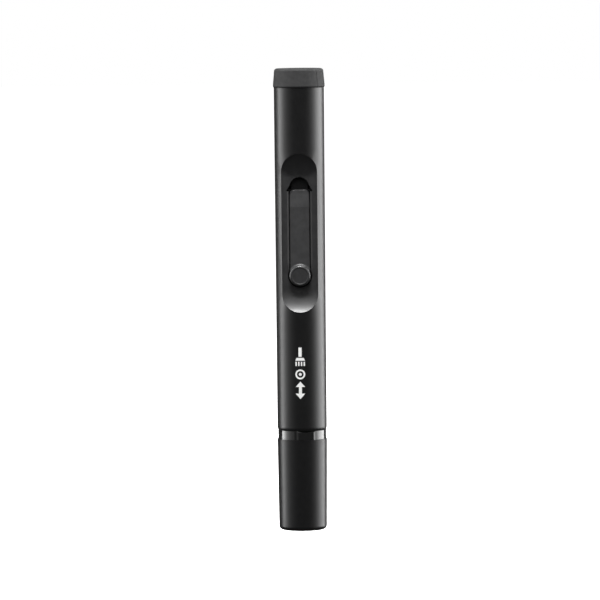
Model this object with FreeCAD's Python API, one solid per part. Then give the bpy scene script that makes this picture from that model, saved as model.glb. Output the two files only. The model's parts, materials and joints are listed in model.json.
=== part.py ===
import FreeCAD, Part
import math
import os

# Lens cleaning pen: an aluminium barrel with a thumb slide that pushes a hair brush out of the
# top end, and a carbon cleaning tip under a pull-off cap at the bottom end.
# Millimetres. +Z runs up the pen's axis, the origin is at the middle of the cap's flat foot, and
# the thumb slide faces -Y. "Height" of a slide feature means its distance from the axis towards -Y.

# ---- driving dimensions -------------------------------------------------------------------
OVERALL_LENGTH = 130.0
FIT_GAP = 0.03                  # between pieces that are pushed together and stay put
SLIP_GAP = 0.1                  # between pieces that slide or turn on each other

BARREL_BOTTOM = 28.28
BARREL_TOP = 124.63
BARREL_R = 6.96                 # of the straight lower stretch, where the pen is held or clipped
BARREL_STRAIGHT_TOP = 58.0      # above it the barrel widens slightly
BARREL_R_TOP = 7.05
BARREL_BORE_R = 6.25
BARREL_EDGE = 1.2               # height of the rounded lower edge
BARREL_EDGE_IN = 0.28           # how far that edge draws in

WINDOW_HALF = 5.05              # thumb recess: half width and the two ends of the stadium
WINDOW_LOW = 61.7
WINDOW_HIGH = 106.25
FLOOR_HEIGHT = 4.55             # recess floor above the axis
TRACK_UNDER = 3.3               # underside of the track
SCOOP_TOP = 6.85                # height that both finger scoops climb to
SCOOP_LOW_RUN = 6.4             # length of each scoop along the pen
SCOOP_HIGH_RUN = 6.5

TAB_HALF = 2.3                  # tabs that hold the track in the barrel
TAB_TOP = 5.5
TAB_REACH = 3.0

SLOT_HALF = 3.05
SLOT_BEVEL = 0.40               # along the slot's straight edges
SLOT_LOW_CENTRE = 71.96         # centre of the slot's round lower end, and of the button on it
KEYHOLE_R = 3.43                # the slot's lower end, wider than the slot to clear the button
SLOT_SHOULDER = 95.6            # the opening above the slot starts here with a small step out
SHOULDER_HALF = 3.65
FLARE_Z = 96.5                  # the opening's sides bend inward here, at this half width
FLARE_HALF = 3.25
ARCH_FOOT = 97.5                # the opening narrows from the shoulders to here, then arches over
ARCH_HALF = 2.68
ARCH_TOP = 99.62

TONGUE_HALF = 2.75
TONGUE_UNDER = 3.4
TONGUE_THICK = 0.65
TONGUE_TOP_END = 96.05
TONGUE_CORNER = 1.3
PEG_R = 0.9                     # of the peg that holds the tongue to the carriage
TONGUE_ROOT = 94.4              # the tongue flexes about this height on the axis
TONGUE_DROOP = 0.45             # how far the tongue's front dips at its upper end
TONGUE_DROOP_RUN = 4.8
BUTTON_R = 2.95
BUTTON_FACE = 6.12              # height of the button's face
BUTTON_ROUND = 0.6
BUTTON_SWEEP = 0.42             # radius of the hollow that leads from the tongue up to the button
DISH_DEPTH = 0.08               # the button's face is sunk a little inside its rim

SLIDE_TRAVEL = 23.5
CARRIAGE_LOW = 67.5
CARRIAGE_HIGH = 96.25
NOSE_HIGH = 98.9                # the carriage's narrow nose shows through the arch
NOSE_HALF = 2.3
SPRING_HALF = 1.5
CARRIAGE_TOP = TRACK_UNDER - 0.15
CARRIAGE_R = BARREL_BORE_R - 0.2

ROD_R = 1.6
ROD_LOW = 89.0
FERRULE_R = 3.8
FERRULE_LOW = 100.6
FERRULE_HIGH = 109.0
HAIR_TIP = 129.2

COLLAR_R_BOTTOM = 7.28
COLLAR_R_TOP = 6.94
COLLAR_EDGE = 0.6               # height of its rounded lower edge
COLLAR_EDGE_IN = 0.2            # how far that edge draws in
MOUTH_R = 4.75
GUIDE_LOW = 120.6
GUIDE_HIGH = 124.75
SEAM_ANGLE = 48.0               # moulding seam of the collar, degrees from -Y towards +X

RING_R = 6.75                   # glossy ring between barrel and cap
CAP_RIM = 25.73
RING_LOW = CAP_RIM + 0.05
CAP_R_TOP = 6.98
CAP_R_FOOT = 6.74
CAP_BORE_R = 6.15
CAP_FLOOR = 1.2
FOOT_ROUND = 1.2
SPIGOT_R = 6.05
SPIGOT_LOW = 16.5
FLAT_ANGLE = 11.3               # flat pad on the ring, degrees from -Y towards +X
FLAT_HALF = 2.2
FLAT_HEIGHT = 6.62              # distance of the pad's face from the axis
FLAT_BEVEL = 0.45               # width of the slopes on both sides of the pad
FLAT_SLOPE = 30.0               # their angle to the face, in degrees
FLAT_TOP_BEVEL = 0.35

SOCKET_R = 4.35
STEM_R = 2.2
BALL_R = 2.0
BALL_CENTRE = 7.5               # the cleaning tip tilts about this point
TIP_R = 5.2
TIP_FACE = 3.6
CAP_PAD_TOP = 2.8


# ---- small helpers ------------------------------------------------------------------------
def vec(x, y, z):
    return FreeCAD.Vector(x, y, z)


AXIS_Z = vec(0, 0, 1)


def closed_face(path, place):
    """A flat face from a path. An item (u, v) is a straight run to that point, and an item
    ((um, vm), (u, v)) is an arc through the first point to the second."""
    start = path[0]
    here = start
    edges = []
    for item in path[1:] + [start]:
        if isinstance(item[0], tuple):
            middle, end = item
            edges.append(Part.Arc(place(*here), place(*middle), place(*end)).toShape())
        else:
            end = item
            if math.dist(here, end) < 1e-7:
                continue
            edges.append(Part.LineSegment(place(*here), place(*end)).toShape())
        here = end
    return Part.Face(Part.Wire(edges))


def lathe(path, centre=None, axis=AXIS_Z):
    """A solid of revolution from (radius, height) points."""
    face = closed_face(path, lambda r, z: vec(r, 0, z))
    solid = face.revolve(vec(0, 0, 0), AXIS_Z, 360)
    if centre is not None:
        solid.Placement = FreeCAD.Placement(centre, FreeCAD.Rotation(AXIS_Z, axis))
    return solid


def cylinder(radius, low, high):
    return Part.makeCylinder(radius, high - low, vec(0, 0, low))


def ring(outer, inner, low, high):
    return cylinder(outer, low, high).cut(cylinder(inner, low - 1, high + 1))


def front_prism(path, low, high):
    """A prism of an (x, z) outline, between two heights above the axis on the -Y side."""
    face = closed_face(path, lambda x, z: vec(x, -low, z))
    return face.extrude(vec(0, low - high, 0))


def front_peg(radius, z, low, high):
    return Part.makeCylinder(radius, high - low, vec(0, -low, z), vec(0, -1, 0))


def block(x_half, y_low, y_high, z_low, z_high):
    size = (2 * x_half, y_high - y_low, z_high - z_low)
    return Part.makeBox(*size, vec(-x_half, y_low, z_low))


def stadium(half, low, high):
    """Outline of a slot along Z with full round ends."""
    low_centre = low + half
    high_centre = high - half
    return [
        (half, low_centre),
        (half, high_centre),
        ((0, high), (-half, high_centre)),
        (-half, low_centre),
        ((0, low), (half, low_centre)),
    ]


def turned(shape, degrees):
    """The shape turned about the pen's axis, counted from -Y towards +X."""
    copy = shape.copy()
    copy.rotate(vec(0, 0, 0), AXIS_Z, degrees)
    return copy


# ---- barrel and its fixed parts -----------------------------------------------------------
def barrel_tube():
    """Metal tube with the window for the thumb slide."""
    edge_middle = (BARREL_R - BARREL_EDGE_IN / 4, BARREL_BOTTOM + BARREL_EDGE * 0.4)
    tube = lathe([
        (BARREL_BORE_R, BARREL_BOTTOM),
        (BARREL_R - BARREL_EDGE_IN, BARREL_BOTTOM),
        (edge_middle, (BARREL_R, BARREL_BOTTOM + BARREL_EDGE)),
        (BARREL_R, BARREL_STRAIGHT_TOP),
        (BARREL_R_TOP, BARREL_TOP),
        (BARREL_BORE_R, BARREL_TOP),
    ])
    window = front_prism(stadium(WINDOW_HALF, WINDOW_LOW, WINDOW_HIGH), 0.5, 9)
    return tube.cut(window)


def scoop_arc(run):
    """Radius of a scoop that leaves the floor tangentially and climbs to SCOOP_TOP."""
    climb = SCOOP_TOP - FLOOR_HEIGHT
    return (run ** 2 + climb ** 2) / (2 * climb)


def scoop_midpoint(run):
    """(distance along the floor, height) of the point halfway round a scoop."""
    radius = scoop_arc(run)
    half_turn = math.asin(run / radius) / 2
    return radius * math.sin(half_turn), FLOOR_HEIGHT + radius * (1 - math.cos(half_turn))


def slot_outline():
    """Straight slot with a keyhole end for the button and an arched opening at the top."""
    keyhole_rise = math.sqrt(KEYHOLE_R ** 2 - SLOT_HALF ** 2)
    slot_low = SLOT_LOW_CENTRE + keyhole_rise
    lip = SLOT_SHOULDER + 0.3
    return [
        (SLOT_HALF, slot_low),
        (SLOT_HALF, SLOT_SHOULDER),
        (SHOULDER_HALF, SLOT_SHOULDER),
        (SHOULDER_HALF, lip),
        (FLARE_HALF, FLARE_Z),
        (ARCH_HALF, ARCH_FOOT),
        ((0, ARCH_TOP), (-ARCH_HALF, ARCH_FOOT)),
        (-FLARE_HALF, FLARE_Z),
        (-SHOULDER_HALF, lip),
        (-SHOULDER_HALF, SLOT_SHOULDER),
        (-SLOT_HALF, SLOT_SHOULDER),
        (-SLOT_HALF, slot_low),
        ((0, SLOT_LOW_CENTRE - KEYHOLE_R), (SLOT_HALF, slot_low)),
    ]


def slot_bevels():
    """Wedges that break the slot's two long front edges."""
    wedges = []
    for side in (-1, 1):
        outline = [(SLOT_HALF, FLOOR_HEIGHT - SLOT_BEVEL), (SLOT_HALF + SLOT_BEVEL, FLOOR_HEIGHT),
                   (SLOT_HALF, FLOOR_HEIGHT)]
        low = SLOT_LOW_CENTRE + KEYHOLE_R * 0.6
        wedge = closed_face(outline, lambda x, height: vec(side * x, -height, low))
        wedges.append(wedge.extrude(vec(0, 0, SLOT_SHOULDER - low)))
    return wedges


def slider_track():
    """Moulded tray in the barrel's window: recess floor, two finger scoops and the slot."""
    outline = stadium(WINDOW_HALF - FIT_GAP, WINDOW_LOW + FIT_GAP, WINDOW_HIGH - FIT_GAP)
    tray = front_prism(outline, TRACK_UNDER, 8)
    low_run, low_height = scoop_midpoint(SCOOP_LOW_RUN)
    high_run, high_height = scoop_midpoint(SCOOP_HIGH_RUN)
    floor_low = WINDOW_LOW + SCOOP_LOW_RUN
    floor_high = WINDOW_HIGH - SCOOP_HIGH_RUN
    above = BARREL_R_TOP + 2
    recess = closed_face([
        (above, WINDOW_LOW),
        (SCOOP_TOP, WINDOW_LOW),
        ((low_height, floor_low - low_run), (FLOOR_HEIGHT, floor_low)),
        (FLOOR_HEIGHT, floor_high),
        ((high_height, floor_high + high_run), (SCOOP_TOP, WINDOW_HIGH)),
        (above, WINDOW_HIGH),
    ], lambda height, z: vec(-above, -height, z)).extrude(vec(2 * above, 0, 0))
    tray = tray.cut(recess)
    # two tabs that tuck under the ends of the barrel's window
    upper_tab = block(TAB_HALF, -TAB_TOP, -TAB_TOP + 1.3, WINDOW_HIGH - 1.3, WINDOW_HIGH + TAB_REACH)
    lower_tab = block(TAB_HALF, -TAB_TOP, -TRACK_UNDER, WINDOW_LOW - TAB_REACH, WINDOW_LOW + 1.3)
    tray = tray.fuse([upper_tab, lower_tab])
    slot = front_prism(slot_outline(), TRACK_UNDER - 1, SCOOP_TOP)
    # the tongue runs on under the upper scoop
    tunnel_roof = TONGUE_UNDER + TONGUE_THICK + SLIP_GAP
    tunnel = block(TONGUE_HALF + 0.25, -tunnel_roof, 0, SLOT_SHOULDER - 0.5, WINDOW_HIGH + 5)
    return tray.cut([slot, tunnel] + slot_bevels()).removeSplitter()


def brush_collar():
    """Rubber collar round the brush's mouth, with a rounded lower edge and a moulding seam."""
    lower_edge_middle = (COLLAR_R_BOTTOM - COLLAR_EDGE_IN * 0.3, BARREL_TOP + COLLAR_EDGE * 0.35)
    collar = lathe([
        (MOUTH_R, GUIDE_HIGH + 0.05),
        (MOUTH_R, OVERALL_LENGTH - 0.45),
        ((MOUTH_R + 0.13, OVERALL_LENGTH - 0.13), (MOUTH_R + 0.45, OVERALL_LENGTH)),
        (COLLAR_R_TOP - 0.75, OVERALL_LENGTH),
        ((COLLAR_R_TOP - 0.2, OVERALL_LENGTH - 0.28), (COLLAR_R_TOP, OVERALL_LENGTH - 0.9)),
        (COLLAR_R_BOTTOM, BARREL_TOP + COLLAR_EDGE),
        (lower_edge_middle, (COLLAR_R_BOTTOM - COLLAR_EDGE_IN, BARREL_TOP + 0.02)),
        (BARREL_BORE_R - 0.05, BARREL_TOP + 0.02),
        (BARREL_BORE_R - 0.05, GUIDE_LOW - 0.1),
        (5.2, GUIDE_LOW - 0.1),
        (5.2, GUIDE_HIGH + 0.05),
    ])
    seam = Part.makeBox(0.16, 2.0, 6.0, vec(-0.08, -COLLAR_R_BOTTOM - 1.85, BARREL_TOP - 1))
    # the groove leans with the collar's taper
    lean = math.degrees(math.atan2(COLLAR_R_BOTTOM - COLLAR_R_TOP, OVERALL_LENGTH - BARREL_TOP))
    seam.rotate(vec(0, -COLLAR_R_BOTTOM, BARREL_TOP), vec(1, 0, 0), -lean)
    return collar.cut(turned(seam, SEAM_ANGLE))


def brush_guide():
    """Bush behind the collar that the brush ferrule slides through."""
    return ring(5.2 - FIT_GAP, FERRULE_R + 0.15, GUIDE_LOW, GUIDE_HIGH)


def neck_ring():
    """Plug in the barrel's lower end: glossy ring, bulkhead, and the spigot that takes the cap."""
    groove_low = 21.0
    groove_high = 22.1
    groove_r = 5.13
    socket_bore = SOCKET_R + FIT_GAP
    neck = lathe([
        (socket_bore, SPIGOT_LOW),
        (SPIGOT_R - 0.4, SPIGOT_LOW),
        (SPIGOT_R, SPIGOT_LOW + 0.8),
        (SPIGOT_R, groove_low),
        (groove_r, groove_low),
        (groove_r, groove_high),
        (SPIGOT_R, groove_high),
        (SPIGOT_R, RING_LOW),
        (RING_R, RING_LOW),
        (RING_R, BARREL_BOTTOM - 0.02),
        (BARREL_BORE_R - 0.05, BARREL_BOTTOM - 0.02),
        (BARREL_BORE_R - 0.05, 37.4),
        (BARREL_BORE_R - 0.5, 38.0),
        (5.0, 38.0),
        (5.0, 27.4),
        (0, 27.4),
        (0, 25.2),
        (socket_bore, 25.2),
    ])
    neck = neck.cut([turned(ring_flat_room(), FLAT_ANGLE + turn) for turn in (0, 180)])
    return neck.fuse([turned(ring_flat(), FLAT_ANGLE + turn) for turn in (0, 180)]).removeSplitter()


def ring_flat_room():
    """Room for a flat pad and for the slope above it, cut out of the ring."""
    return block(FLAT_HALF + FLAT_BEVEL, -9, -FLAT_HEIGHT + 0.5, RING_LOW, BARREL_BOTTOM - 0.02)


def ring_flat():
    """Flat pad on the ring: a plain face with a slope on each side and one above it."""
    foot = FLAT_HEIGHT - 0.5
    side_height = FLAT_HEIGHT - FLAT_BEVEL * math.tan(math.radians(FLAT_SLOPE))
    outer = FLAT_HALF + FLAT_BEVEL
    section = closed_face([
        (-outer, foot),
        (outer, foot),
        (outer, side_height),
        (FLAT_HALF, FLAT_HEIGHT),
        (-FLAT_HALF, FLAT_HEIGHT),
        (-outer, side_height),
    ], lambda x, height: vec(x, -height, RING_LOW))
    top = BARREL_BOTTOM - 0.02
    pad = section.extrude(vec(0, 0, top - RING_LOW))
    slope = closed_face([
        (FLAT_HEIGHT, top - FLAT_TOP_BEVEL),
        (FLAT_HEIGHT - FLAT_TOP_BEVEL, top),
        (9, top),
        (9, top - FLAT_TOP_BEVEL),
    ], lambda height, z: vec(-4, -height, z)).extrude(vec(8, 0, 0))
    return pad.cut(slope)


def neck_grip_ring():
    """Rubber ring in the spigot's groove that holds the cap by friction."""
    return Part.makeTorus(5.63, 0.49, vec(0, 0, 21.55))


def tip_socket():
    """Bush in the neck that holds the stem of the cleaning tip."""
    return ring(SOCKET_R, STEM_R + FIT_GAP, 17.0, 25.1)


def tip_stem():
    """Replaceable post with the ball that the cleaning tip turns on."""
    waist_r = 1.3
    waist_low = BALL_CENTRE + math.sqrt(BALL_R ** 2 - waist_r ** 2)
    return lathe([
        (0, BALL_CENTRE - BALL_R),
        ((BALL_R, BALL_CENTRE), (waist_r, waist_low)),
        (waist_r, 12.0),
        (STEM_R, 13.2),
        (STEM_R, 24.0),
        (STEM_R - 0.4, 24.5),
        (0, 24.5),
    ])


# ---- the slide: carriage and brush --------------------------------------------------------
def slide_carriage():
    """Sled in the bore: a top plate, two bulkheads, two rails and a narrow nose."""
    plate_half = 4.6
    plate_under = 2.0
    rail_wide = 0.9
    rail_out = 4.9
    rail_deep = 5.6
    wall = 2.3
    plate = block(plate_half, -CARRIAGE_TOP, -plate_under, CARRIAGE_LOW, CARRIAGE_HIGH)
    trim = block(CARRIAGE_R + 1, -CARRIAGE_TOP, CARRIAGE_R + 1, CARRIAGE_LOW, CARRIAGE_HIGH)
    low_bulkhead = cylinder(CARRIAGE_R, CARRIAGE_LOW, CARRIAGE_LOW + wall).common(trim)
    high_bulkhead = cylinder(CARRIAGE_R, CARRIAGE_HIGH - wall, CARRIAGE_HIGH).common(trim)
    rails = []
    for corner in (-rail_out, rail_out - rail_wide):
        start = vec(corner, -CARRIAGE_TOP + 0.05, CARRIAGE_LOW)
        rails.append(Part.makeBox(rail_wide, rail_deep, CARRIAGE_HIGH - CARRIAGE_LOW, start))
    nose = block(NOSE_HALF, -CARRIAGE_TOP + 0.15, -plate_under, CARRIAGE_HIGH - 0.1, NOSE_HIGH)
    body = plate.fuse([low_bulkhead, high_bulkhead, nose] + rails)
    # room for the tongue to be pressed into, ending below its root
    press_room = block(TONGUE_HALF + 0.45, -CARRIAGE_TOP - 1, -2.75, CARRIAGE_LOW - 1, TONGUE_ROOT - 4)
    peg_hole = front_peg(PEG_R + SLIP_GAP, TONGUE_ROOT, plate_under - 0.1, CARRIAGE_TOP + 1)
    rod_hole = cylinder(ROD_R + 0.02, ROD_LOW - SLIP_GAP, NOSE_HIGH + 1)
    slit_half = SPRING_HALF + 0.15
    spring_slits = [
        block(slit_half, 4.15, 5.05, CARRIAGE_LOW + 0.9, CARRIAGE_LOW + 3),
        block(slit_half, 4.15, 5.05, CARRIAGE_HIGH - 3, CARRIAGE_HIGH - 1.1),
    ]
    hollow = cylinder(2.6, CARRIAGE_LOW - 1, CARRIAGE_LOW + 3)
    hollow = hollow.common(block(3, -1.2, 3, CARRIAGE_LOW - 1, CARRIAGE_LOW + 3))
    return body.cut([press_room, peg_hole, rod_hole, hollow] + spring_slits).removeSplitter()


def detent_spring():
    """Bowed steel leaf that rubs on the back of the bore and holds the slide where it is put."""
    thick = 0.25
    low = CARRIAGE_LOW + 1.0
    high = CARRIAGE_HIGH - 1.2
    middle = (low + high) / 2
    bow = 5.9
    foot = 4.5
    return closed_face([
        (foot - thick, low),
        ((bow - thick, middle), (foot - thick, high)),
        (foot, high),
        ((bow, middle), (foot, low)),
    ], lambda y, z: vec(-SPRING_HALF, y, z)).extrude(vec(2 * SPRING_HALF, 0, 0))


def brush_rod():
    """Rod that joins the carriage to the brush."""
    return cylinder(ROD_R, ROD_LOW, FERRULE_LOW + 2.6)


def brush_base():
    """Plug that joins the rod to the ferrule and backs the hair."""
    plug = cylinder(FERRULE_R - 0.38, FERRULE_LOW + 0.2, FERRULE_LOW + 4.0)
    return plug.cut(cylinder(ROD_R + 0.02, FERRULE_LOW - 1, FERRULE_LOW + 2.7))


def brush_ferrule():
    """Crimped metal tube round the roots of the hair."""
    inner = FERRULE_R - 0.35
    crimp = 0.16
    outline = [(inner, FERRULE_LOW), (FERRULE_R - 0.1, FERRULE_LOW), (FERRULE_R, FERRULE_LOW + 0.1)]
    for groove in (FERRULE_LOW + 4.9, FERRULE_LOW + 6.4):
        outline.append((FERRULE_R, groove - 0.4))
        outline.append(((FERRULE_R - crimp, groove), (FERRULE_R, groove + 0.4)))
    outline += [
        (FERRULE_R, FERRULE_HIGH - 0.15),
        (FERRULE_R - 0.15, FERRULE_HIGH),
        (inner, FERRULE_HIGH),
    ]
    return lathe(outline)


def brush_hair():
    """Outer shape of the goat hair, held narrow by the mouth it waits in."""
    root_r = FERRULE_R - 0.38
    return lathe([
        (0, FERRULE_LOW + 4.1),
        (root_r, FERRULE_LOW + 4.1),
        (root_r, FERRULE_HIGH + 0.1),
        (3.65, 118.0),
        (3.8, GUIDE_HIGH),
        (4.1, 126.4),
        ((3.2, 127.95), (1.0, HAIR_TIP)),
        (0, HAIR_TIP),
    ])


# ---- thumb tongue -------------------------------------------------------------------------
def tongue_outline():
    corner_z = TONGUE_TOP_END - TONGUE_CORNER
    corner_x = TONGUE_HALF - TONGUE_CORNER
    bend = TONGUE_CORNER * math.sqrt(0.5)
    return [
        (TONGUE_HALF, SLOT_LOW_CENTRE),
        (TONGUE_HALF, corner_z),
        ((corner_x + bend, corner_z + bend), (corner_x, TONGUE_TOP_END)),
        (-corner_x, TONGUE_TOP_END),
        ((-corner_x - bend, corner_z + bend), (-TONGUE_HALF, corner_z)),
        (-TONGUE_HALF, SLOT_LOW_CENTRE),
        ((0, SLOT_LOW_CENTRE - TONGUE_HALF), (TONGUE_HALF, SLOT_LOW_CENTRE)),
    ]


def button_sweep(top):
    """Hollow skirt that leads from the strip up to the button, no wider than the strip."""
    wall_r = BUTTON_R + 0.01
    foot_r = wall_r + BUTTON_SWEEP
    sag = BUTTON_SWEEP * (1 - math.sqrt(0.5))
    skirt = lathe([
        (wall_r, 0),
        (foot_r, 0),
        ((wall_r + sag, sag), (wall_r, BUTTON_SWEEP)),
    ], vec(0, -top, SLOT_LOW_CENTRE), vec(0, -1, 0))
    return skirt.common(front_prism(tongue_outline(), top, top + BUTTON_SWEEP))


def slider_tongue():
    """Springy strip under the thumb. Its root is pegged to the carriage, its free end is round."""
    top = TONGUE_UNDER + TONGUE_THICK
    strip = front_prism(tongue_outline(), TONGUE_UNDER, top)
    dip = closed_face([
        (top, TONGUE_TOP_END - TONGUE_DROOP_RUN),
        (top - TONGUE_DROOP, TONGUE_TOP_END),
        (top - TONGUE_DROOP, TONGUE_TOP_END + 1),
        (top + 1, TONGUE_TOP_END + 1),
        (top + 1, TONGUE_TOP_END - TONGUE_DROOP_RUN),
    ], lambda height, z: vec(-4, -height, z)).extrude(vec(8, 0, 0))
    strip = strip.cut(dip)
    front_edges = [edge for edge in strip.Edges if is_front_edge(edge, top)]
    strip = strip.makeFillet(0.2, front_edges)
    root_peg = front_peg(PEG_R, TONGUE_ROOT, 2.0, TONGUE_UNDER + 0.1)
    button_boss = front_peg(1.5, SLOT_LOW_CENTRE, top - 0.1, 5.2)
    return strip.fuse([root_peg, button_boss, button_sweep(top)]).removeSplitter()


def is_front_edge(edge, top):
    """True for the strip's outer edges on its front, flat or dipped."""
    box = edge.BoundBox
    crease = box.ZLength < 1e-6 and box.ZMax < TONGUE_TOP_END - 1
    return box.YMax < -(top - TONGUE_DROOP) + 1e-3 and not crease


def thumb_button():
    """Round button pressed on the tongue's boss, with a rounded rim and a shallow dish."""
    foot = TONGUE_UNDER + TONGUE_THICK + 0.01
    flat_r = BUTTON_R - BUTTON_ROUND
    rim = BUTTON_ROUND * (1 - math.sqrt(0.5))
    return lathe([
        (0, 5.22),
        (1.52, 5.22),
        (1.52, foot),
        (BUTTON_R, foot),
        (BUTTON_R, BUTTON_FACE - BUTTON_ROUND),
        ((BUTTON_R - rim, BUTTON_FACE - rim), (flat_r, BUTTON_FACE)),
        (flat_r - 0.2, BUTTON_FACE - DISH_DEPTH),
        (0, BUTTON_FACE - DISH_DEPTH),
    ], vec(0, 0, SLOT_LOW_CENTRE), vec(0, -1, 0))


# ---- cleaning tip -------------------------------------------------------------------------
def tip_head():
    """Hard backing of the tip, with the socket that snaps over the stem's ball."""
    socket_r = BALL_R + 0.08
    mouth_r = 1.75
    mouth_z = BALL_CENTRE + math.sqrt(socket_r ** 2 - mouth_r ** 2)
    high = 9.9
    return lathe([
        (0, 5.1),
        (TIP_R - 0.15, 5.1),
        (TIP_R - 0.15, 6.9),
        ((4.3, 8.1), (3.4, 8.5)),
        (2.9, high),
        (mouth_r + 0.1, high),
        (mouth_r, mouth_z),
        ((socket_r, BALL_CENTRE), (0, BALL_CENTRE - socket_r)),
    ])


def tip_cushion():
    """Soft rubber layer between the hard backing and the cleaning face."""
    return cylinder(TIP_R - 0.08, 4.12, 5.09)


def tip_pad():
    """Carbon-charged chamois disc, slightly hollow so that it follows a lens."""
    return lathe([
        (0, TIP_FACE + 0.2),
        ((TIP_R / 2, TIP_FACE + 0.15), (TIP_R - 0.2, TIP_FACE)),
        (TIP_R, TIP_FACE + 0.15),
        (TIP_R, 4.11),
        (0, 4.11),
    ])


# ---- cap ----------------------------------------------------------------------------------
def cap_shell():
    foot_centre_r = CAP_R_FOOT - FOOT_ROUND
    foot_bend = FOOT_ROUND * math.sqrt(0.5)
    return lathe([
        (0, 0),
        (foot_centre_r, 0),
        ((foot_centre_r + foot_bend, FOOT_ROUND - foot_bend), (CAP_R_FOOT, FOOT_ROUND)),
        (CAP_R_TOP, CAP_RIM),
        (CAP_BORE_R + 0.25, CAP_RIM),
        (CAP_BORE_R, CAP_RIM - 0.5),
        (CAP_BORE_R, CAP_FLOOR),
        (0, CAP_FLOOR),
    ])


def cap_liner():
    return ring(CAP_BORE_R - FIT_GAP, TIP_R + 0.55, CAP_FLOOR + 0.02, SPIGOT_LOW - 1)


def cap_pad():
    """Felt disc charged with carbon, which dresses the tip when the cap goes on."""
    return cylinder(TIP_R + 0.5, CAP_FLOOR + 0.04, CAP_PAD_TOP)


NODES = {
    "barrel_tube": barrel_tube,
    "slider_track": slider_track,
    "brush_collar": brush_collar,
    "brush_guide": brush_guide,
    "neck_ring": neck_ring,
    "neck_grip_ring": neck_grip_ring,
    "tip_socket": tip_socket,
    "tip_stem": tip_stem,
    "slide_carriage": slide_carriage,
    "detent_spring": detent_spring,
    "brush_rod": brush_rod,
    "brush_base": brush_base,
    "brush_ferrule": brush_ferrule,
    "brush_hair": brush_hair,
    "slider_tongue": slider_tongue,
    "thumb_button": thumb_button,
    "tip_head": tip_head,
    "tip_cushion": tip_cushion,
    "tip_pad": tip_pad,
    "cap_shell": cap_shell,
    "cap_liner": cap_liner,
    "cap_pad": cap_pad,
}


def main():
    os.makedirs("parts", exist_ok=True)
    for name, make in NODES.items():
        shape = make()
        if not shape.isValid() or shape.Volume <= 0:
            print("bad shape:", name, shape.isValid(), shape.Volume)
        print(f"{name}: {len(shape.Solids)} solid, {shape.Volume:.1f} mm3")
        shape.exportStep(f"parts/{name}.step")


main()
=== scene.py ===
import json
import math
import random

import bmesh
import bpy
from mathutils import Matrix, Vector, noise


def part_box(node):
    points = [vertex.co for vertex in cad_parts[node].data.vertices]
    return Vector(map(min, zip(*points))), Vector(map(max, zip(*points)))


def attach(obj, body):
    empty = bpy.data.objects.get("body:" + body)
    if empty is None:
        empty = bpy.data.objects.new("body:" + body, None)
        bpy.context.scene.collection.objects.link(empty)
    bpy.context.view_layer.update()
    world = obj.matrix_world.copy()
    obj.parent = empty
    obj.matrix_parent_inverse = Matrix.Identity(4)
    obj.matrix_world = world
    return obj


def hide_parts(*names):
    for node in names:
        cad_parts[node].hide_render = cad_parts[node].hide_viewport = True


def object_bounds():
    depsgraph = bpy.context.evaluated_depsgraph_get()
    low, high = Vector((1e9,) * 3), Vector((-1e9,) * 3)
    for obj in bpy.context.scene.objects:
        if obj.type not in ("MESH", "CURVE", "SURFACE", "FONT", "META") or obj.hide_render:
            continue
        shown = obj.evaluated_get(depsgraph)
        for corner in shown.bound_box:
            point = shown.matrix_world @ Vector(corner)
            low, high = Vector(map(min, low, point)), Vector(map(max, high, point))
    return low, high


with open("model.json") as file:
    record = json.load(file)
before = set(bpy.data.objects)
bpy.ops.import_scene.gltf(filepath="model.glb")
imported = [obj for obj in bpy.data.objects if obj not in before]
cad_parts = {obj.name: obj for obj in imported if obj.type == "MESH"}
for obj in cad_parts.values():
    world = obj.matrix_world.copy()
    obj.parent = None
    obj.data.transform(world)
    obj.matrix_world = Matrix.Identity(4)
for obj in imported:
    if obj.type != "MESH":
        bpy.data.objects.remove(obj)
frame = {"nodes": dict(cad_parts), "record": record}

CAD_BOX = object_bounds()
SEED = 11
MM = 0.001

# ---- camera -------------------------------------------------------------------------------
CAMERA_DISTANCE = 1.490
CAMERA_AZIMUTH = 2.0            # degrees round from straight in front of the thumb slide
CAMERA_HEIGHT = 0.1645          # above the foot, so the pen is seen slightly from above
LENS_MM = 318.3
SENSOR_MM = 36.0
AIM_HEIGHT = 0.0648
AIM_SIDE = -0.00026             # the pen stands a little right of the picture's middle
ROLL_DEGREES = -0.58
CLIP_NEAR = 0.05
CLIP_FAR = 20.0


def link(obj):
    bpy.context.scene.collection.objects.link(obj)
    return obj


def make_camera():
    data = bpy.data.cameras.new("camera")
    data.lens = LENS_MM
    data.sensor_width = SENSOR_MM
    data.clip_start = CLIP_NEAR
    data.clip_end = CLIP_FAR
    camera = link(bpy.data.objects.new("camera", data))
    turn = math.radians(CAMERA_AZIMUTH)
    away = Vector((math.sin(turn), -math.cos(turn), 0))
    camera.location = away * CAMERA_DISTANCE + Vector((0, 0, CAMERA_HEIGHT))
    aim = Vector((AIM_SIDE, 0, AIM_HEIGHT))
    look = (aim - camera.location).to_track_quat("-Z", "Y")
    roll = Matrix.Rotation(math.radians(ROLL_DEGREES), 3, "Z")
    camera.rotation_euler = (look.to_matrix() @ roll).to_euler()
    bpy.context.scene.camera = camera


# ---- studio -------------------------------------------------------------------------------
FLOOR_HALF = 6.0
FLOOR_GLOW = 1.0
FLOOR_DROP = 0.032              # room under the foot for the cap to be pulled off
ROOM_LEVEL = 0.10
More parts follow.
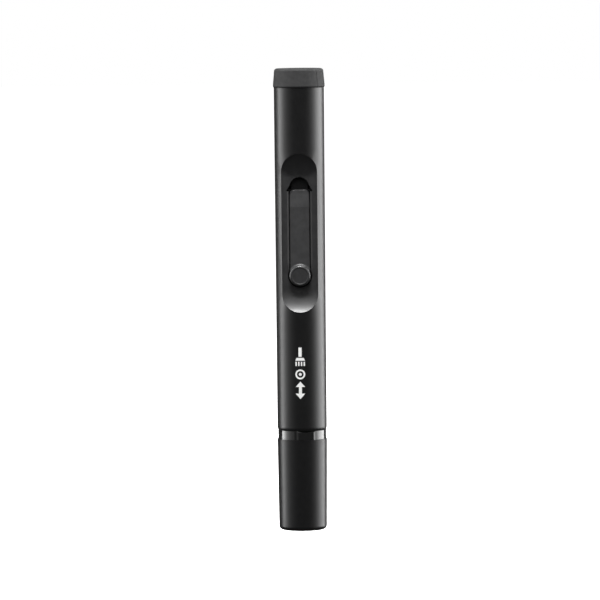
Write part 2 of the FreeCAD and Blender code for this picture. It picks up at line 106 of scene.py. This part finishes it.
# Bearings are in degrees from the camera's side, positive to the right. Each side wall of light
# is given as (bearing, radiance) pairs and is graded between them.
SIDE_WALLS = {
    "left_wall": [
        (-36, 0.2), (-46, 0.31), (-56, 0.5), (-66, 0.95), (-78, 1.85),
        (-88, 3.9), (-98, 6.4), (-111, 6.4),
    ],
    "right_wall": [
        (44, 0.17), (59, 0.51), (70, 1.3), (81, 3.3), (94, 5.8),
        (108, 6.5), (130, 6.5),
    ],
}
STRIPS = 18
WALL_DISTANCE = 1.0
WALL_HEIGHT = 1.2
WALL_LIFT = 15                  # degrees above level, as little light comes up from below
# name, bearing and elevation in degrees, distance, width and height in metres, radiance
SOFT_BOXES = [
    ("top_box", -4, 72, 1.1, 0.36, 0.12, 175.0),
    ("front_fill", -4, 50, 1.1, 0.8, 0.6, 2.2),
]


# ---- node materials -----------------------------------------------------------------------
PATCH_SCALE = 620.0             # slow changes of colour and gloss; scales are in cycles per metre
PATCH_DETAIL = 6.0
GRAIN_DETAIL = 2.0
PATCH_ROUGHNESS = 0.68
NOISE_LOW = 0.33                # the middle part of a noise value's range
NOISE_HIGH = 0.67
NAP_SCALE = 1400.0
NAP_ROUGHNESS = 0.7
NAP_GLOSS = (0.85, 0.98)
HAIR_STRETCH = (2600.0, 2600.0, 90.0)   # streaks run along the strands
HAIR_DARK = (0.018, 0.012, 0.009, 1)
HAIR_LIGHT = (0.2, 0.14, 0.1, 1)
HAIR_RAMP = (0.3, 0.72)
HAIR_GLOSS = (0.36, 0.55)


def new_material(name, color, roughness, **sockets):
    material = bpy.data.materials.new(name)
    material.use_nodes = True
    shader = material.node_tree.nodes["Principled BSDF"]
    shader.inputs["Base Color"].default_value = (*color, 1)
    shader.inputs["Roughness"].default_value = roughness
    for socket, value in sockets.items():
        shader.inputs[socket.replace("_", " ")].default_value = value
    return material


def position_node(tree):
    return tree.nodes.new("ShaderNodeTexCoord").outputs["Object"]


def noise_node(tree, scale, detail=3.0, roughness=0.55):
    node = tree.nodes.new("ShaderNodeTexNoise")
    node.inputs["Scale"].default_value = scale
    node.inputs["Detail"].default_value = detail
    node.inputs["Roughness"].default_value = roughness
    tree.links.new(position_node(tree), node.inputs["Vector"])
    return node.outputs["Fac"]


def ranged(tree, value, low, high):
    node = tree.nodes.new("ShaderNodeMapRange")
    node.inputs["To Min"].default_value = low
    node.inputs["To Max"].default_value = high
    tree.links.new(value, node.inputs["Value"])
    return node.outputs["Result"]


def stretched(tree, value):
    """A noise value spread out to the whole range from 0 to 1."""
    node = tree.nodes.new("ShaderNodeMapRange")
    node.inputs["From Min"].default_value = NOISE_LOW
    node.inputs["From Max"].default_value = NOISE_HIGH
    tree.links.new(value, node.inputs["Value"])
    return node.outputs["Result"]


def mixed_color(tree, factor, low, high):
    node = tree.nodes.new("ShaderNodeMix")
    node.data_type = "RGBA"
    node.inputs["A"].default_value = (*low, 1)
    node.inputs["B"].default_value = (*high, 1)
    tree.links.new(factor, node.inputs["Factor"])
    return node.outputs["Result"]


def add_bump(tree, height, distance):
    node = tree.nodes.new("ShaderNodeBump")
    node.inputs["Strength"].default_value = 1.0
    node.inputs["Distance"].default_value = distance
    tree.links.new(height, node.inputs["Height"])
    shader = tree.nodes["Principled BSDF"]
    tree.links.new(node.outputs["Normal"], shader.inputs["Normal"])


def textured(name, color, spread, roughness, rough_spread, grain, depth, **sockets):
    """A moulded or blasted surface: fine grain in the bump, slow patches in colour and gloss."""
    material = new_material(name, color, roughness, **sockets)
    tree = material.node_tree
    shader = tree.nodes["Principled BSDF"]
    patches = stretched(tree, noise_node(tree, PATCH_SCALE, PATCH_DETAIL, PATCH_ROUGHNESS))
    low = tuple(c * (1 - spread) for c in color)
    high = tuple(c * (1 + spread) for c in color)
    tree.links.new(mixed_color(tree, patches, low, high), shader.inputs["Base Color"])
    tree.links.new(ranged(tree, patches, roughness - rough_spread, roughness + rough_spread),
                   shader.inputs["Roughness"])
    add_bump(tree, noise_node(tree, grain, GRAIN_DETAIL), depth)
    return material


def strand_material():
    """Hair: streaks that run along the strands, with a soft gloss."""
    material = new_material("goat_hair", (0.1, 0.07, 0.05), 0.42, Specular_IOR_Level=0.6,
                            Sheen_Weight=0.2)
    tree = material.node_tree
    stretch = tree.nodes.new("ShaderNodeMapping")
    stretch.inputs["Scale"].default_value = HAIR_STRETCH
    tree.links.new(position_node(tree), stretch.inputs["Vector"])
    streaks = tree.nodes.new("ShaderNodeTexNoise")
    streaks.inputs["Scale"].default_value = 1.0
    streaks.inputs["Detail"].default_value = 4.0
    tree.links.new(stretch.outputs["Vector"], streaks.inputs["Vector"])
    shades = tree.nodes.new("ShaderNodeValToRGB")
    for element, position, shade in zip(shades.color_ramp.elements, HAIR_RAMP, (HAIR_DARK, HAIR_LIGHT)):
        element.position = position
        element.color = shade
    tree.links.new(streaks.outputs["Fac"], shades.inputs["Fac"])
    shader = tree.nodes["Principled BSDF"]
    tree.links.new(shades.outputs["Color"], shader.inputs["Base Color"])
    tree.links.new(ranged(tree, streaks.outputs["Fac"], *HAIR_GLOSS), shader.inputs["Roughness"])
    return material


def chamois_material(name, low, high, fibre, depth, sheen):
    """Felt or suede: mottled nap with fine fibres in the bump."""
    material = new_material(name, high, 0.92, Sheen_Weight=sheen, Sheen_Roughness=0.5,
                            Specular_IOR_Level=0.2)
    tree = material.node_tree
    shader = tree.nodes["Principled BSDF"]
    nap = noise_node(tree, NAP_SCALE, PATCH_DETAIL, NAP_ROUGHNESS)
    tree.links.new(mixed_color(tree, nap, low, high), shader.inputs["Base Color"])
    tree.links.new(ranged(tree, nap, *NAP_GLOSS), shader.inputs["Roughness"])
    fibres = tree.nodes.new("ShaderNodeTexVoronoi")
    fibres.inputs["Scale"].default_value = fibre
    fibres.inputs["Randomness"].default_value = 1.0
    tree.links.new(position_node(tree), fibres.inputs["Vector"])
    add_bump(tree, fibres.outputs["Distance"], depth)
    return material


# slot: material name, base colour, colour spread, roughness, roughness spread, grain scale, grain
# depth in metres, and any other shader sockets
TEXTURED = {
    "barrel_black": ("anodised_black", (0.0040, 0.0040, 0.0042), 0.12, 0.36, 0.02, 9000.0, 4e-6, {}),
    "track_black": ("track_plastic", (0.0228, 0.0228, 0.0234), 0.16, 0.42, 0.04, 6000.0, 6e-6, {}),
    "tongue_black": ("tongue_plastic", (0.0375, 0.0375, 0.0383), 0.16, 0.4, 0.04, 6000.0, 5e-6, {}),
    "button_black": ("button_plastic", (0.026, 0.026, 0.0268), 0.14, 0.36, 0.03, 6000.0, 5e-6, {}),
    "collar_rubber": ("collar_rubber", (0.036, 0.036, 0.0364), 0.2, 0.7, 0.05, 3000.0, 1.2e-5,
                      {"Specular_IOR_Level": 0.14}),
    "gloss_black": ("gloss_plastic", (0.004, 0.004, 0.0042), 0.1, 0.1, 0.015, 900.0, 5e-7,
                    {"IOR": 1.76}),
    "cap_black": ("cap_plastic", (0.0062, 0.0062, 0.0065), 0.1, 0.33, 0.03, 7000.0, 4e-6, {"IOR": 1.42}),
    "carriage_black": ("carriage_plastic", (0.011, 0.011, 0.0115), 0.15, 0.55, 0.04, 4000.0, 6e-6,
                       {"Specular_IOR_Level": 0.3}),
    "inner_plastic": ("inner_plastic", (0.03, 0.03, 0.03), 0.15, 0.5, 0.05, 4000.0, 6e-6, {}),
    "grip_rubber": ("grip_rubber", (0.02, 0.02, 0.02), 0.15, 0.55, 0.05, 4000.0, 8e-6, {}),
    "spring_steel": ("spring_steel", (0.55, 0.55, 0.56), 0.05, 0.25, 0.05, 3000.0, 2e-6,
                     {"Metallic": 1.0}),
    "ferrule_metal": ("ferrule_metal", (0.62, 0.62, 0.63), 0.05, 0.28, 0.05, 3000.0, 2e-6,
                      {"Metallic": 1.0}),
    "cushion_rubber": ("cushion_rubber", (0.03, 0.03, 0.03), 0.25, 0.8, 0.06, 6000.0, 2e-5, {}),
    "print_white": ("print_ink", (0.86, 0.86, 0.85), 0.04, 0.5, 0.05, 3000.0, 2e-6, {}),
}
# slot: material name, colours of the nap low and high, fibre scale, fibre depth in metres, sheen
NAPPED = {
    "carbon_pad": ("carbon_chamois", (0.006, 0.006, 0.006), (0.022, 0.021, 0.02), 5200.0, 5e-5, 0.25),
    "felt_black": ("felt", (0.008, 0.008, 0.008), (0.03, 0.03, 0.031), 3800.0, 8e-5, 0.4),
}


def make_materials():
    materials = {slot: textured(*row[:-1], **row[-1]) for slot, row in TEXTURED.items()}
    materials.update({slot: chamois_material(*row) for slot, row in NAPPED.items()})
    materials["goat_hair"] = strand_material()
    return materials


def paint_nodes(materials):
    slots = {entry["node"]: entry["material_slot"] for entry in frame["record"]["subparts"]}
    for name, node in frame["nodes"].items():
        material = materials[slots[name]]
        node.data.materials.clear()
        node.data.materials.append(material)


# ---- stage --------------------------------------------------------------------------------
def make_floor():
    size = FLOOR_HALF
    corners = [(-size, -size, 0), (size, -size, 0), (size, size, 0), (-size, size, 0)]
    mesh = bpy.data.meshes.new("floor")
    mesh.from_pydata(corners, [], [(0, 1, 2, 3)])
    floor = link(bpy.data.objects.new("floor", mesh))
    floor.location.z = CAD_BOX[0].z - FLOOR_DROP
    floor.visible_glossy = False
    floor.visible_diffuse = False
    pale = new_material("floor_pale", (0.9, 0.9, 0.9), 0.9)
    shader = pale.node_tree.nodes["Principled BSDF"]
    shader.inputs["Emission Color"].default_value = (1, 1, 1, 1)
    shader.inputs["Emission Strength"].default_value = FLOOR_GLOW
    floor.data.materials.append(pale)


def soft_box(name, bearing, elevation, distance, width, height, radiance):
    """A rectangular light facing the middle of the pen; radiance is what a mirror would show."""
    data = bpy.data.lights.new(name, "AREA")
    data.shape = "RECTANGLE"
    data.size = width
    data.size_y = height
    data.energy = radiance * math.pi * width * height
    light = link(bpy.data.objects.new(name, data))
    turn = math.radians(bearing)
    lift = math.radians(elevation)
    out = Vector((math.sin(turn) * math.cos(lift), -math.cos(turn) * math.cos(lift), math.sin(lift)))
    middle = Vector((0, 0, CAD_BOX[1].z / 2))
    light.location = middle + out * distance
    light.rotation_euler = out.to_track_quat("Z", "Y").to_euler()
    light.visible_camera = False


def graded(pairs, bearing):
    """Radiance at a bearing, in even ratios between the given pairs."""
    for (near, low), (far, high) in zip(pairs, pairs[1:]):
        if abs(bearing) <= abs(far):
            share = (bearing - near) / (far - near)
            return low * (high / low) ** share
    return pairs[-1][1]


def side_wall(name, pairs):
    """Upright strips side by side, dim towards the front and bright towards the back."""
    inner = pairs[0][0]
    step = (pairs[-1][0] - inner) / STRIPS
    width = 2 * WALL_DISTANCE * math.tan(math.radians(abs(step) / 2))
    for index in range(STRIPS):
        bearing = inner + step * (index + 0.5)
        soft_box(f"{name}_{index}", bearing, WALL_LIFT, WALL_DISTANCE, width, WALL_HEIGHT,
                 graded(pairs, bearing))


def make_world():
    """White behind the pen for the camera, and a dim room for everything the pen reflects."""
    world = bpy.data.worlds.new("studio")
    bpy.context.scene.world = world
    world.use_nodes = True
    tree = world.node_tree
    room = tree.nodes["Background"]
    room.inputs["Color"].default_value = (1, 1, 1, 1)
    room.inputs["Strength"].default_value = ROOM_LEVEL
    backdrop = tree.nodes.new("ShaderNodeBackground")
    backdrop.inputs["Color"].default_value = (1, 1, 1, 1)
    backdrop.inputs["Strength"].default_value = 1.0
    path = tree.nodes.new("ShaderNodeLightPath")
    either = tree.nodes.new("ShaderNodeMixShader")
    tree.links.new(path.outputs["Is Camera Ray"], either.inputs["Fac"])
    tree.links.new(room.outputs["Background"], either.inputs[1])
    tree.links.new(backdrop.outputs["Background"], either.inputs[2])
    tree.links.new(either.outputs["Shader"], tree.nodes["World Output"].inputs["Surface"])


def make_lights():
    bpy.context.scene.view_settings.view_transform = "Standard"
    make_world()
    for name, pairs in SIDE_WALLS.items():
        side_wall(name, pairs)
    for box in SOFT_BOXES:
        soft_box(*box)


# ---- pieces -------------------------------------------------------------------------------
def finish_piece(name, verts, faces, body, material, replaces=(), smooth=True):
    mesh = bpy.data.meshes.new(name)
    mesh.from_pydata(verts, [], faces)
    mesh.validate()
    if smooth:
        mesh.shade_smooth()
    piece = link(bpy.data.objects.new(name, mesh))
    piece.data.materials.append(material)
    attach(piece, body)
    if replaces:
        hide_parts(*replaces)
    return piece


def add_tube(verts, faces, path, radii, sides):
    """Closed tube round a path, its two ends shut."""
    base = len(verts)
    for (x, y, z), radius in zip(path, radii):
        for side in range(sides):
            angle = 2 * math.pi * side / sides
            verts.append((x + radius * math.cos(angle), y + radius * math.sin(angle), z))
    for row in range(len(path) - 1):
        for side in range(sides):
            after = (side + 1) % sides
            low = base + row * sides
            faces.append((low + side, low + after, low + sides + after, low + sides + side))
    last = base + (len(path) - 1) * sides
    faces.append(tuple(base + side for side in reversed(range(sides))))
    faces.append(tuple(last + side for side in range(sides)))


STRANDS = 1700
STRAND_R = 0.075 * MM
STRAND_ROWS = 8
STRAND_SIDES = 3
STRAND_TAPER = 0.62             # share of a strand's radius lost by its tip
STRAND_SWAY = 0.035             # sideways drift of a tip, as a share of the tuft's radius
STRAND_WAVE = 0.008             # a strand's waviness, as a share of the tuft's radius
WAVE_X, WAVE_Y = 9, 7           # radians of wave along a strand, across and front to back
STRAND_SHORTFALL = 0.018        # how unevenly the strands end, as a share of the tuft's length
CLUMPS = 46
CLUMP_SPREAD = 0.95             # the outermost clump's place, as a share of the tuft's radius
CLUMP_PULL = (0.1, 0.45)        # how far the tips gather to their clump
DOME_FALL = 0.1                 # share of the length by which the outermost strands end lower
DOME_POWER = 2.2
TUFT_LIMIT = 0.98               # no strand strays past this share of the tuft's radius
# the tuft's outer radius at heights above its root, as shares of the tuft's length and width
TUFT_SHAPE = [(0.0, 0.80), (0.16, 0.83), (0.52, 0.885), (0.80, 0.915), (0.88, 0.985), (1.0, 0.985)]
CORE_ROWS = 9
CORE_SIDES = 24
CORE_LENGTH = 0.9               # share of the tuft's length
CORE_WIDTH = (0.72, 0.3)        # share of the tuft's width at the root, and what the top loses of it


def shape_at(shape, share):
    for (near, low), (far, high) in zip(shape, shape[1:]):
        if share <= far:
            return low + (high - low) * (share - near) / (far - near)
    return shape[-1][1]


def strand(rng, clumps, widest, low, length):
    """One strand's path and radii, from a random root to a tip gathered to the nearest clump."""
    share = math.sqrt(rng.random())
    angle = rng.uniform(0, 2 * math.pi)
    root = (share * math.cos(angle), share * math.sin(angle))
    clump = min(clumps, key=lambda c: math.dist(c, root))
    pull = rng.uniform(*CLUMP_PULL)
    dome = 1 - DOME_FALL * share ** DOME_POWER
    top = dome * (1 - abs(rng.gauss(0, STRAND_SHORTFALL)))
    sway = (rng.uniform(-STRAND_SWAY, STRAND_SWAY), rng.uniform(-STRAND_SWAY, STRAND_SWAY))
    wave = rng.uniform(0, 2 * math.pi)
    path, radii = [], []
    for row in range(STRAND_ROWS):
        along = row / (STRAND_ROWS - 1)
        lean = pull * along ** 3
        x = root[0] * (1 - lean) + clump[0] * lean + sway[0] * along ** 2
        y = root[1] * (1 - lean) + clump[1] * lean + sway[1] * along ** 2
        x += STRAND_WAVE * math.sin(wave + WAVE_X * along)
        y += STRAND_WAVE * math.cos(wave + WAVE_Y * along)
        spread = math.hypot(x, y)
        if spread > TUFT_LIMIT:
            x, y = x * TUFT_LIMIT / spread, y * TUFT_LIMIT / spread
        height = top * along
        reach = widest * shape_at(TUFT_SHAPE, height) - STRAND_R
        path.append((x * reach, y * reach, low.z + length * height))
        radii.append(STRAND_R * (1 - STRAND_TAPER * along ** 2))
    return path, radii


def make_tuft(materials):
    """Goat hair as single strands, gathered in small clumps near the tips, over a solid core."""
    rng = random.Random(SEED)
    low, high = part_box("brush_hair")
    length = high.z - low.z
    widest = (high.x - low.x) / 2
    clumps = [(math.sqrt(rng.random()) * CLUMP_SPREAD, rng.uniform(0, 2 * math.pi))
              for _ in range(CLUMPS)]
    clumps = [(r * math.cos(a), r * math.sin(a)) for r, a in clumps]
    verts, faces = [], []
    for _ in range(STRANDS):
        path, radii = strand(rng, clumps, widest, low, length)
        add_tube(verts, faces, path, radii, STRAND_SIDES)
    wide, loss = CORE_WIDTH
    core, core_radii = [], []
    for row in range(CORE_ROWS):
        share = row / (CORE_ROWS - 1)
        core.append((0, 0, low.z + length * CORE_LENGTH * share))
        shell = widest * shape_at(TUFT_SHAPE, CORE_LENGTH * share)
        core_radii.append(shell * (wide - loss * share ** 3))
    add_tube(verts, faces, core, core_radii, CORE_SIDES)
    finish_piece("hair_strands", verts, faces, "brush_slider", materials["goat_hair"],
                 ["brush_hair"], smooth=False)


DISC_SIDES = 96
RIPPLE_SIZES = [(0.55 * MM, 0.6), (0.17 * MM, 0.4)]     # size of the unevenness, and its share


def turned_disc(name, outline, body, material, replaces, ripple):
    """A soft disc spun from an outline that starts and ends on the axis, with an uneven surface."""
    around = DISC_SIDES
    verts = [(0, 0, outline[0][1])]
    faces = []
    for radius, height in outline[1:-1]:
        for step in range(around):
            angle = 2 * math.pi * step / around
            spot = Vector((radius * math.cos(angle), radius * math.sin(angle), height))
            bump = sum(noise.noise(spot / size) * share for size, share in RIPPLE_SIZES)
            shrink = 1 - ripple * (0.5 + 0.5 * bump) / max(radius, MM)
            lift = ripple * 0.5 * bump
            verts.append((spot.x * shrink, spot.y * shrink, height + lift))
    verts.append((0, 0, outline[-1][1]))
    last = len(verts) - 1
    rows = len(outline) - 2
    for step in range(around):
        after = (step + 1) % around
        faces.append((0, 1 + after, 1 + step))
        for row in range(rows - 1):
            low = 1 + row * around
            faces.append((low + step, low + after, low + around + after, low + around + step))
        top = 1 + (rows - 1) * around
        faces.append((top + step, top + after, last))
    piece = finish_piece(name, verts, faces, body, material, replaces)
    return piece


def spread_rows(corners, spacing):
    """Points along straight runs between the corners, no further apart than the spacing."""
    rows = [corners[0]]
    for here, there in zip(corners, corners[1:]):
        steps = max(1, math.ceil(math.dist(here, there) / spacing))
        for step in range(1, steps + 1):
            share = step / steps
            rows.append(tuple(a + (b - a) * share for a, b in zip(here, there)))
    return rows


ROW_SPACING = 0.22 * MM
FACE_GAP = 0.02 * MM            # the chamois stays this far above the CAD pad's underside
FACE_HOLLOW = 0.2 * MM          # how far the middle of the chamois lies above its rim
FACE_EDGE = 0.35 * MM           # width of the chamois's rounded edge
CUSHION_BULGE = 0.16 * MM
FLAT_EDGE = 0.3 * MM
FELT_EDGE = 0.42 * MM           # width of the felt's rounded edge
FELT_WORN_R = 5.2 * MM          # the tip has pressed the felt down inside this radius
FELT_PRESS = 0.14 * MM
FELT_PRESS_RUN = 0.12 * MM
FELT_DROP = 0.06 * MM           # room left for the nap under the CAD pad's top


def make_face(materials):
    """Chamois face of the cleaning tip, which looks down: a little hollow, with a rounded edge."""
    low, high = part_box("tip_pad")
    r, z0, z1 = high.x, low.z + FACE_GAP, high.z
    shares = [i / 20 for i in range(21)]
    face = [(share * (r - FACE_EDGE), z0 + FACE_HOLLOW * (1 - share ** 2)) for share in shares]
    edge = [(r - 0.12 * MM, z0 + 0.06 * MM), (r - 0.02 * MM, z0 + 0.2 * MM), (r, z0 + 0.34 * MM),
            (r - 0.04 * MM, z1)]
    outline = face + edge + spread_rows([(r - 0.04 * MM, z1), (0, z1)], ROW_SPACING)[1:]
    turned_disc("chamois_face", outline, "tip", materials["carbon_pad"], ["tip_pad"],
                0.035 * MM)


def make_foam(materials):
    """Soft layer behind the chamois, its side bulging a little."""
    low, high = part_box("tip_cushion")
    r, z0, z1 = high.x, low.z, high.z
    belly = []
    for i in range(9):
        share = i / 8
        belly.append((r - CUSHION_BULGE * (2 * share - 1) ** 2, z0 + (z1 - z0) * share))
    outline = spread_rows([(0, z0), (r - FLAT_EDGE, z0)], ROW_SPACING * 2) + belly
    outline += spread_rows([(r - FLAT_EDGE, z1), (0, z1)], ROW_SPACING * 2)
    turned_disc("tip_foam", outline, "tip", materials["cushion_rubber"],
                ["tip_cushion"], 0.02 * MM)


def make_felt(materials):
    """Felt at the bottom of the cap, pressed down where the tip rests on it."""
    low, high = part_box("cap_pad")
    r, z0, z1 = high.x, low.z, high.z
    outline = spread_rows([(0, z0), (r - 0.1 * MM, z0)], ROW_SPACING * 2)
    outline += [(r - 0.02 * MM, z0 + 0.15 * MM), (r, z0 + 0.6 * MM), (r - 0.05 * MM, z1 - 0.3 * MM),
                (r - 0.2 * MM, z1 - 0.08 * MM), (r - FELT_EDGE, z1 - 0.05 * MM)]
    for i in range(1, 22):
        radius = (r - FELT_EDGE) * (1 - i / 21)
        press = FELT_PRESS / (1 + math.exp((radius - FELT_WORN_R) / FELT_PRESS_RUN))
        outline.append((radius, z1 - FELT_DROP - press))
    turned_disc("cap_felt", outline, "cap", materials["felt_black"], ["cap_pad"],
                0.05 * MM)


# ---- printed pictograms -------------------------------------------------------------------
PRINT_MIDDLE = (-0.15, 44.7)    # across from the axis and up the pen, in millimetres
INK_STANDS = 0.012              # the ink's thickness above the barrel, in millimetres
INK_SINKS = 0.05                # and its depth inside the barrel
BARREL_R_MM = 6.96
WELD_DISTANCE = 1e-4            # corners of neighbouring shapes closer than this are one corner
BEND_SPACING = 0.25             # the signs are cut this often, so that they bend round the barrel
BEND_CUTS = 7                   # on each side of the middle
BRISTLE_X = (-1.15, -0.385, 0.385, 1.15)
BRISTLE_HALF = 0.19
LENS_MIDDLE = (0, -0.35)


def ring_shape(centre, inner, outer, steps=40):
    shape = []
    for step in range(steps):
        angles = [2 * math.pi * (step + extra) / steps for extra in (0, 1)]
        corners = [(inner, angles[0]), (outer, angles[0]), (outer, angles[1]), (inner, angles[1])]
        shape.append([(centre[0] + r * math.cos(a), centre[1] + r * math.sin(a)) for r, a in corners])
    return shape


def pictogram_shapes():
    """Three generic signs in millimetres: a brush, a lens as a ring and a dot, a two-way arrow."""
    brush = [
        [(-0.45, 4.6), (0.45, 4.6), (0.45, 7.2), (-0.45, 7.2)],
        [(-1.35, 3.5), (1.35, 3.5), (1.0, 4.3), (-1.0, 4.3)],
    ]
    half = BRISTLE_HALF
    bristles = [[(x - half, 2.0), (x + half, 2.0), (x + half, 3.2), (x - half, 3.2)] for x in BRISTLE_X]
    lens = ring_shape(LENS_MIDDLE, 0.95, 1.4) + ring_shape(LENS_MIDDLE, 0.02, 0.42, 24)
    arrow = [
        [(0, -2.35), (-1.35, -3.9), (-0.42, -3.9), (-0.42, -5.75), (-1.35, -5.75), (0, -7.3),
         (1.35, -5.75), (0.42, -5.75), (0.42, -3.9), (1.35, -3.9)],
    ]
    return brush + bristles + lens + arrow


def in_order(shapes):
    """Corners and faces sorted by place, as the mesh operators don't keep one order from run to run."""
    corners = sorted(shapes.verts, key=lambda vert: tuple(vert.co))
    place = {vert: index for index, vert in enumerate(corners)}
    faces = []
    for face in shapes.faces:
        loop = [place[vert] for vert in face.verts]
        first = loop.index(min(loop))
        faces.append(loop[first:] + loop[:first])
    return [tuple(vert.co) for vert in corners], sorted(faces)


def make_print(materials):
    """The signs as a thin layer of ink, bent round the barrel and sunk a little into it."""
    across, up = PRINT_MIDDLE
    shapes = bmesh.new()
    for outline in pictogram_shapes():
        shapes.faces.new([shapes.verts.new((across + x, up + y, 0)) for x, y in outline])
    bmesh.ops.remove_doubles(shapes, verts=shapes.verts, dist=WELD_DISTANCE)
    bmesh.ops.triangulate(shapes, faces=shapes.faces)
    for index in range(-BEND_CUTS, BEND_CUTS + 1):
        bmesh.ops.bisect_plane(shapes, geom=shapes.verts[:] + shapes.edges[:] + shapes.faces[:],
                               plane_co=(index * BEND_SPACING, 0, 0), plane_no=(1, 0, 0))
    fronts = bmesh.ops.extrude_face_region(shapes, geom=shapes.faces[:])
    raised = {element for element in fronts["geom"] if isinstance(element, bmesh.types.BMVert)}
    for vert in shapes.verts:
        out = BARREL_R_MM + (INK_STANDS if vert in raised else -INK_SINKS)
        turn = vert.co.x / BARREL_R_MM
        vert.co = Vector((out * math.sin(turn), -out * math.cos(turn), vert.co.y)) * MM
    bmesh.ops.recalc_face_normals(shapes, faces=shapes.faces)
    verts, faces = in_order(shapes)
    shapes.free()
    finish_piece("printed_signs", verts, faces, "barrel", materials["print_white"],
                 smooth=False)


make_camera()
materials = make_materials()
paint_nodes(materials)
make_floor()
make_lights()
make_tuft(materials)
make_face(materials)
make_foam(materials)
make_felt(materials)
make_print(materials)
